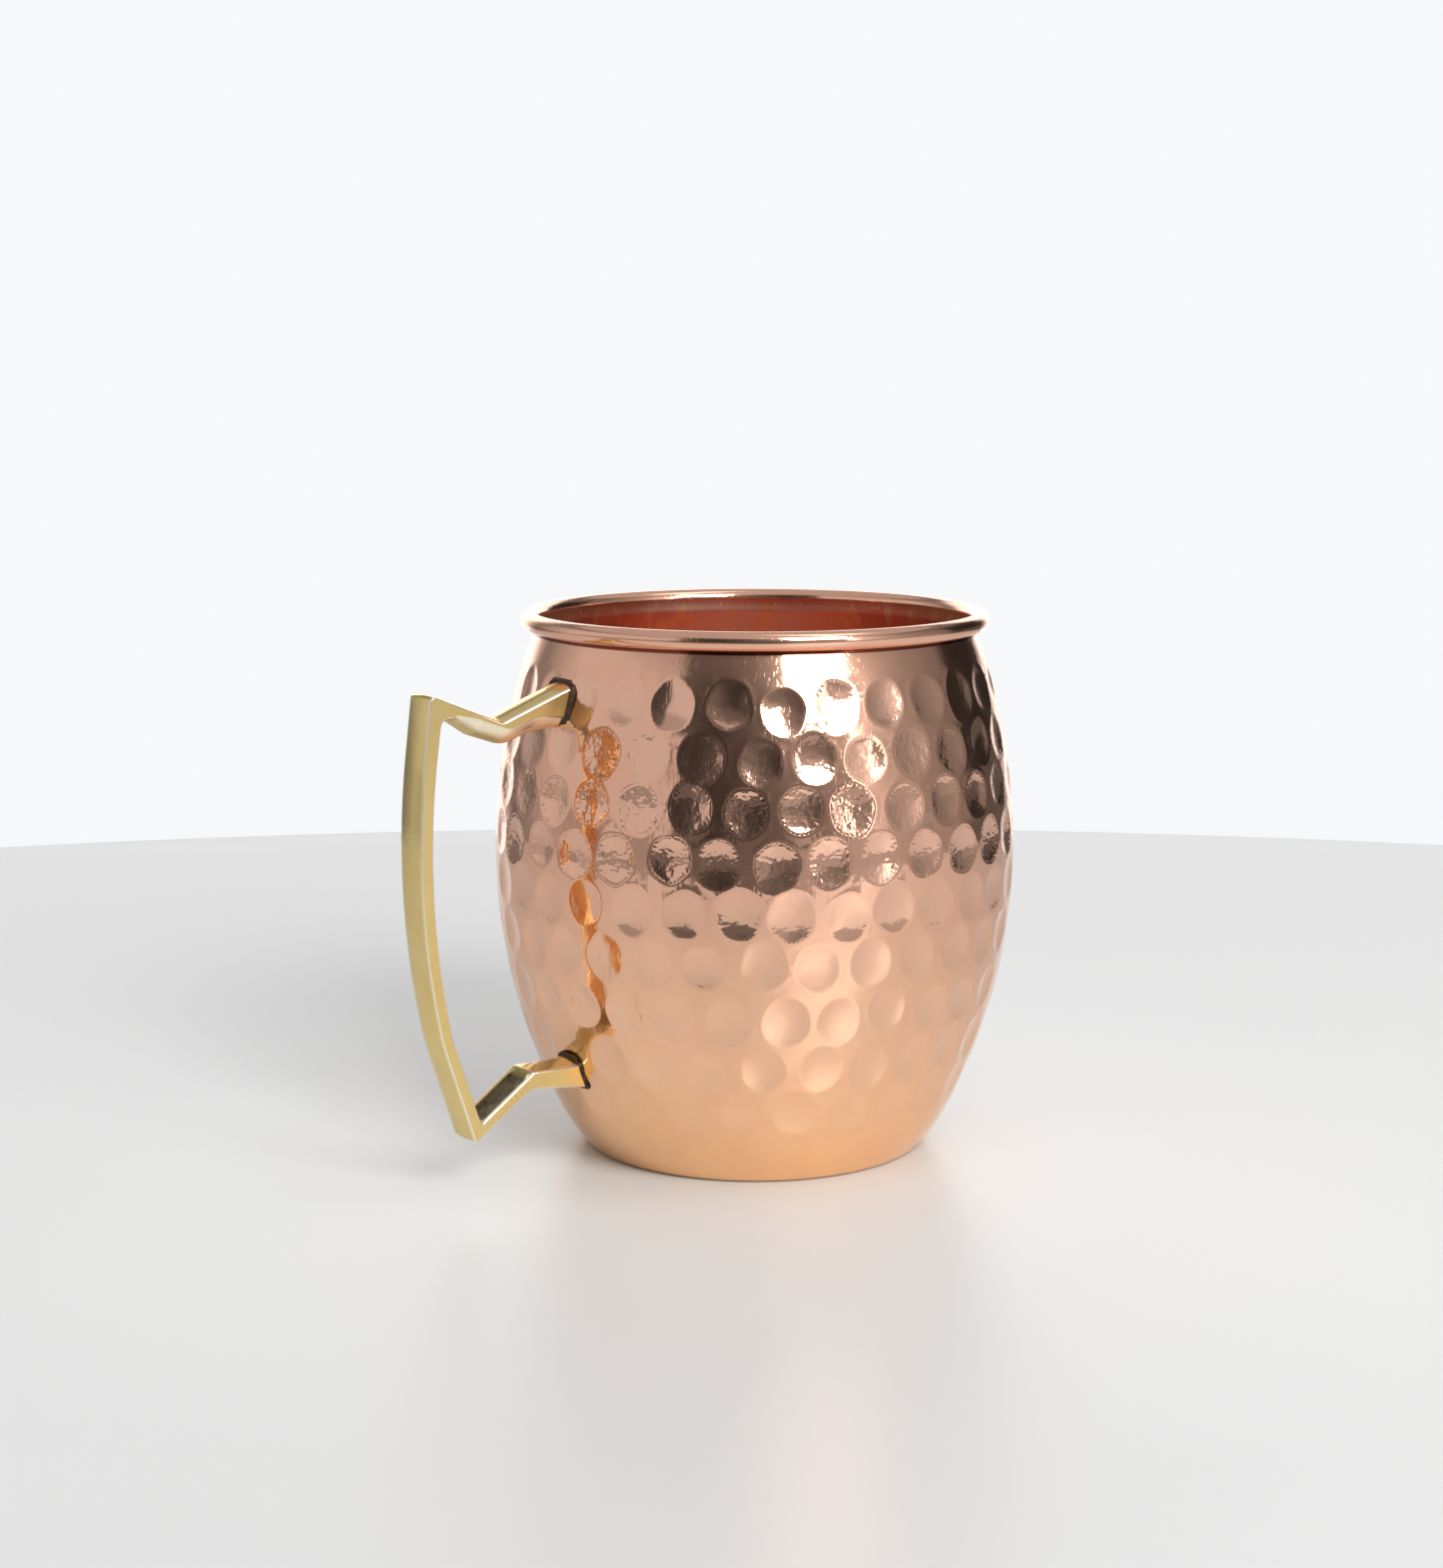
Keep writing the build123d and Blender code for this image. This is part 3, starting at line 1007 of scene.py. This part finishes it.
def brass_material():
    """Polished brass, satin on its flat sides, pale along its edges with a painted highlight, and dark
    in the hollow with painted shade on the cast skin.
    """
    material = bpy.data.materials.new("polished_brass")
    nodes = Nodes(material)
    place = nodes.place()
    cast_and_shade = nodes.attribute("as_cast_shaded")
    satin = nodes.attribute("satin")
    worn_highlight = nodes.attribute("worn_highlight")
    cloud = nodes.noise(place, 110, detail=5, roughness=0.65)
    rough_skin = nodes.noise(place, 420, detail=5, roughness=0.7)
    brushed = nodes.noise(nodes.stretched(place, (0.05, 1, 0.05)), 3000, detail=2)
    colour = nodes.mix(nodes.rise(cloud, 0.35, 0.75), BRASS_BRIGHT, BRASS_DULL)
    # Cast skin in the hollow, darkened with painted shade.
    shaded_skin = nodes.mix(nodes.rise(rough_skin, 0.35, 0.7), SKIN_SHADE_DARK, SKIN_SHADE_LIGHT)
    # Rubbed edges paler as a painted highlight, and the hollow's cast skin darkened with painted shade.
    colour = nodes.mix(worn_highlight, nodes.mix(cast_and_shade, colour, shaded_skin), BRASS_WORN_HIGHLIGHT)
    skin_height = nodes.scaled(nodes.math('MULTIPLY', rough_skin, cast_and_shade), 1.6)
    height = nodes.total(nodes.scaled(cloud, 0.6), nodes.scaled(brushed, 0.06), skin_height)
    rough = nodes.math('MAXIMUM', nodes.math('MAXIMUM', cast_and_shade, satin), worn_highlight)
    sharp = nodes.total(nodes.scaled(cloud, 0.14), 0.07, nodes.scaled(rough, 0.12))
    haze_share = nodes.total(nodes.scaled(satin, 0.12), 0.2)
    polished_metal(nodes, colour, sharp, 0.45, haze_share, nodes.bump(height, 0.12 * MM))
    return material


def braze_material():
    """Near-black filler metal, rough and lumpy."""
    material = bpy.data.materials.new("near_black_braze")
    nodes = Nodes(material)
    cloud = nodes.noise(nodes.place(), 900, detail=5, roughness=0.7)
    colour = nodes.mix(nodes.rise(cloud, 0.4, 0.75), BRAZE_DARK, BRAZE_LIGHT)
    roughness = nodes.ramp(cloud, (0.3, 0.4), (0.8, 0.7))
    bump = nodes.bump(cloud, 0.2 * MM)
    nodes.finish(nodes.principled(
        Base_Color=colour, Metallic=0.55, Roughness=roughness, Normal=bump))
    return material


def table_material():
    """A smooth white top with a slight sheen and a painted pool of light round the mug."""
    material = bpy.data.materials.new("white_table")
    nodes = Nodes(material)
    place = nodes.place()
    reach = nodes.add('ShaderNodeVectorMath', {0: place}, operation='LENGTH').outputs["Value"]
    colour = nodes.mix(nodes.noise(place, 9, detail=3), TABLE_COOL, TABLE_WARM)
    # Painted pool of light close round the mug.
    colour = nodes.mix(nodes.ramp(reach, (0.06, 1.0), (0.16, 0.0)), colour, TABLE_LIT_NEAR_MUG)
    nodes.finish(nodes.principled(Base_Color=colour, Roughness=0.36))
    return material


cup.data.materials.append(copper_material())
handle.data.materials.append(brass_material())
braze_finish = braze_material()
for braze in (upper_braze, lower_braze):
    braze.data.materials.append(braze_finish)

# ---------------- table
TABLE_HALF_LENGTH = 0.49
TABLE_HALF_DEPTH = 0.32
TABLE_THICKNESS = 0.018
TABLE_EDGE = 0.003          # round of the top's and the underside's edge
TABLE_COLUMNS = 192
CONTACT_GAP = 0.05 * MM     # left between the cup and the table


def table_rings():
    """Half length, half depth and drop of each ring, from the middle out and round the edge."""
    rings = []
    for share in (0.2, 0.6, 0.9):
        rings.append((TABLE_HALF_LENGTH * share, TABLE_HALF_DEPTH * share, 0.0))
    for step in range(9):
        angle = math.radians(90 - 22.5 * step)
        inset = TABLE_EDGE * (1 - math.cos(angle))
        drop = TABLE_EDGE * (1 - math.sin(angle))
        if step > 4:
            drop += TABLE_THICKNESS - 2 * TABLE_EDGE
        rings.append((TABLE_HALF_LENGTH - inset, TABLE_HALF_DEPTH - inset, drop))
    return rings


def make_table():
    """An oval table top under the cup, its long side across the line of sight."""
    surface = Surface()
    turns = [TURN * column / TABLE_COLUMNS for column in range(TABLE_COLUMNS)]
    last = None
    for half_length, half_depth, drop in table_rings():
        down = Vector((0, 0, -drop - CONTACT_GAP))
        points = []
        for turn in turns:
            sideways = right * (half_length * math.cos(turn))
            points.append(sideways + ahead * (half_depth * math.sin(turn)) + down)
        ring = surface.add(points, [(0, 0, 1)] * TABLE_COLUMNS)
        if last:
            surface.join(ring, last)
        last = ring
    surface.faces.append(tuple(range(TABLE_COLUMNS)))
    surface.faces.append(tuple(reversed(last)))
    return make_object("table_top", surface.points, surface.faces)


table = make_table()
table.data.materials.append(table_material())

# ---------------- light
SOFTBOX_AZIMUTH = 31
SOFTBOX_ELEVATION = 34
SOFTBOX_DISTANCE = 1.2
SOFTBOX_SIZE = (0.58, 0.52)
SOFTBOX_POWER = 11.8
BACKDROP = (0.93, 0.94, 0.95, 1)
# Brightness of the room all round the cup, at four levels: degrees from the camera's side, rising
# to its right, and brightness. The backdrop is white and the room behind the camera is dark, with
# a pale wall to its left and a narrow bright window to its right.
ROOM_LOW = (
    (-180, 1.7), (-150, 1.7), (-141, 0.5), (-134, 0.22), (-128, 0.25), (-122, 0.36),
    (-100, 0.64), (-40, 0.64), (-34, 0.08), (-20, 0.02), (10, 0.1), (44, 0.2), (46, 3.0),
    (52, 0.8), (66, 0.45), (82, 0.3), (106, 0.2), (112, 0.02), (145, 0.02), (150, 0.5),
    (155, 1.6), (180, 1.7),
)
ROOM_HIGH = (
    (-180, 0.16), (-100, 0.25), (-80, 0.38), (-42, 0.42), (-36, 0.1), (12, 0.12), (60, 0.3),
    (100, 0.16), (180, 0.16),
)
ROOM_UNDER = (
    (-180, 1.1), (-150, 1.5), (-142, 0.45), (-135, 0.12), (-115, 0.3), (-105, 0.5), (-80, 0.3),
    (-45, 0.35), (-36, 0.12), (8, 0.12), (20, 0.4), (60, 0.45), (100, 0.3), (112, 0.1),
    (145, 0.1), (150, 0.5), (155, 1.4), (180, 1.1),
)
ROOM_ABOVE = ((-180, 0.5), (40, 0.5), (56, 2.2), (90, 2.2), (106, 0.5), (180, 0.5))
ROOM_PLAIN = (0.5, 0.5, 0.5)
# Where one level gives way to the next, as shares of the way from the horizon to overhead
LOW_TO_HIGH = (0.28, 0.36)
HIGH_TO_PLAIN = (0.42, 0.48)
PLAIN_TO_ABOVE = (0.60, 0.68)
UNDER_FROM = -0.01


def toward(azimuth, elevation):
    """Direction from the cup; azimuth is from the camera's side, to its right."""
    flat = -ahead * math.cos(math.radians(azimuth)) + right * math.sin(math.radians(azimuth))
    return flat * math.cos(math.radians(elevation)) + Vector((0, 0, math.sin(math.radians(elevation))))


def add_softbox():
    """A large soft lamp above the camera's right, aimed at the middle of the cup."""
    light = bpy.data.lights.new("softbox", 'AREA')
    light.shape = 'RECTANGLE'
    light.size, light.size_y = SOFTBOX_SIZE
    light.energy = SOFTBOX_POWER
    softbox = bpy.data.objects.new("softbox", light)
    bpy.context.scene.collection.objects.link(softbox)
    middle = Vector((0, 0, HEIGHT / 2))
    softbox.location = middle + toward(SOFTBOX_AZIMUTH, SOFTBOX_ELEVATION) * SOFTBOX_DISTANCE
    softbox.rotation_euler = (softbox.location - middle).to_track_quat('Z', 'Y').to_euler()


def studio():
    """The room round the table, as the cup reflects it, and a plain backdrop for the view."""
    world = bpy.data.worlds.new("studio")
    bpy.context.scene.world = world
    nodes = Nodes(world)
    direction = nodes.add('ShaderNodeTexCoord').outputs["Generated"]
    azimuth = nodes.math('ARCTAN2', nodes.dot(direction, right), nodes.dot(direction, -ahead))
    azimuth = nodes.total(nodes.scaled(azimuth, 1 / TURN), 0.5)
    elevation = nodes.scaled(nodes.math('ARCSINE', nodes.dot(direction, (0, 0, 1))), 2 / math.pi)

    def room(stops):
        return nodes.ramp(azimuth, *((0.5 + degrees / 360, level) for degrees, level in stops))

    level = nodes.mix(nodes.rise(elevation, *LOW_TO_HIGH), room(ROOM_LOW), room(ROOM_HIGH))
    level = nodes.mix(nodes.rise(elevation, *HIGH_TO_PLAIN), level, ROOM_PLAIN)
    level = nodes.mix(nodes.rise(elevation, *PLAIN_TO_ABOVE), level, room(ROOM_ABOVE))
    level = nodes.mix(nodes.math('LESS_THAN', elevation, UNDER_FROM), level, room(ROOM_UNDER))
    lit = nodes.add('ShaderNodeBackground', {"Color": level, "Strength": 1.0})
    seen = nodes.add('ShaderNodeBackground', {"Color": BACKDROP, "Strength": 1.0})
    is_camera = nodes.add('ShaderNodeLightPath').outputs["Is Camera Ray"]
    both = nodes.blend(is_camera, lit.outputs[0], seen.outputs[0])
    nodes.finish(both, 'ShaderNodeOutputWorld')


add_softbox()
studio()
bpy.context.scene.view_settings.view_transform = 'Standard'
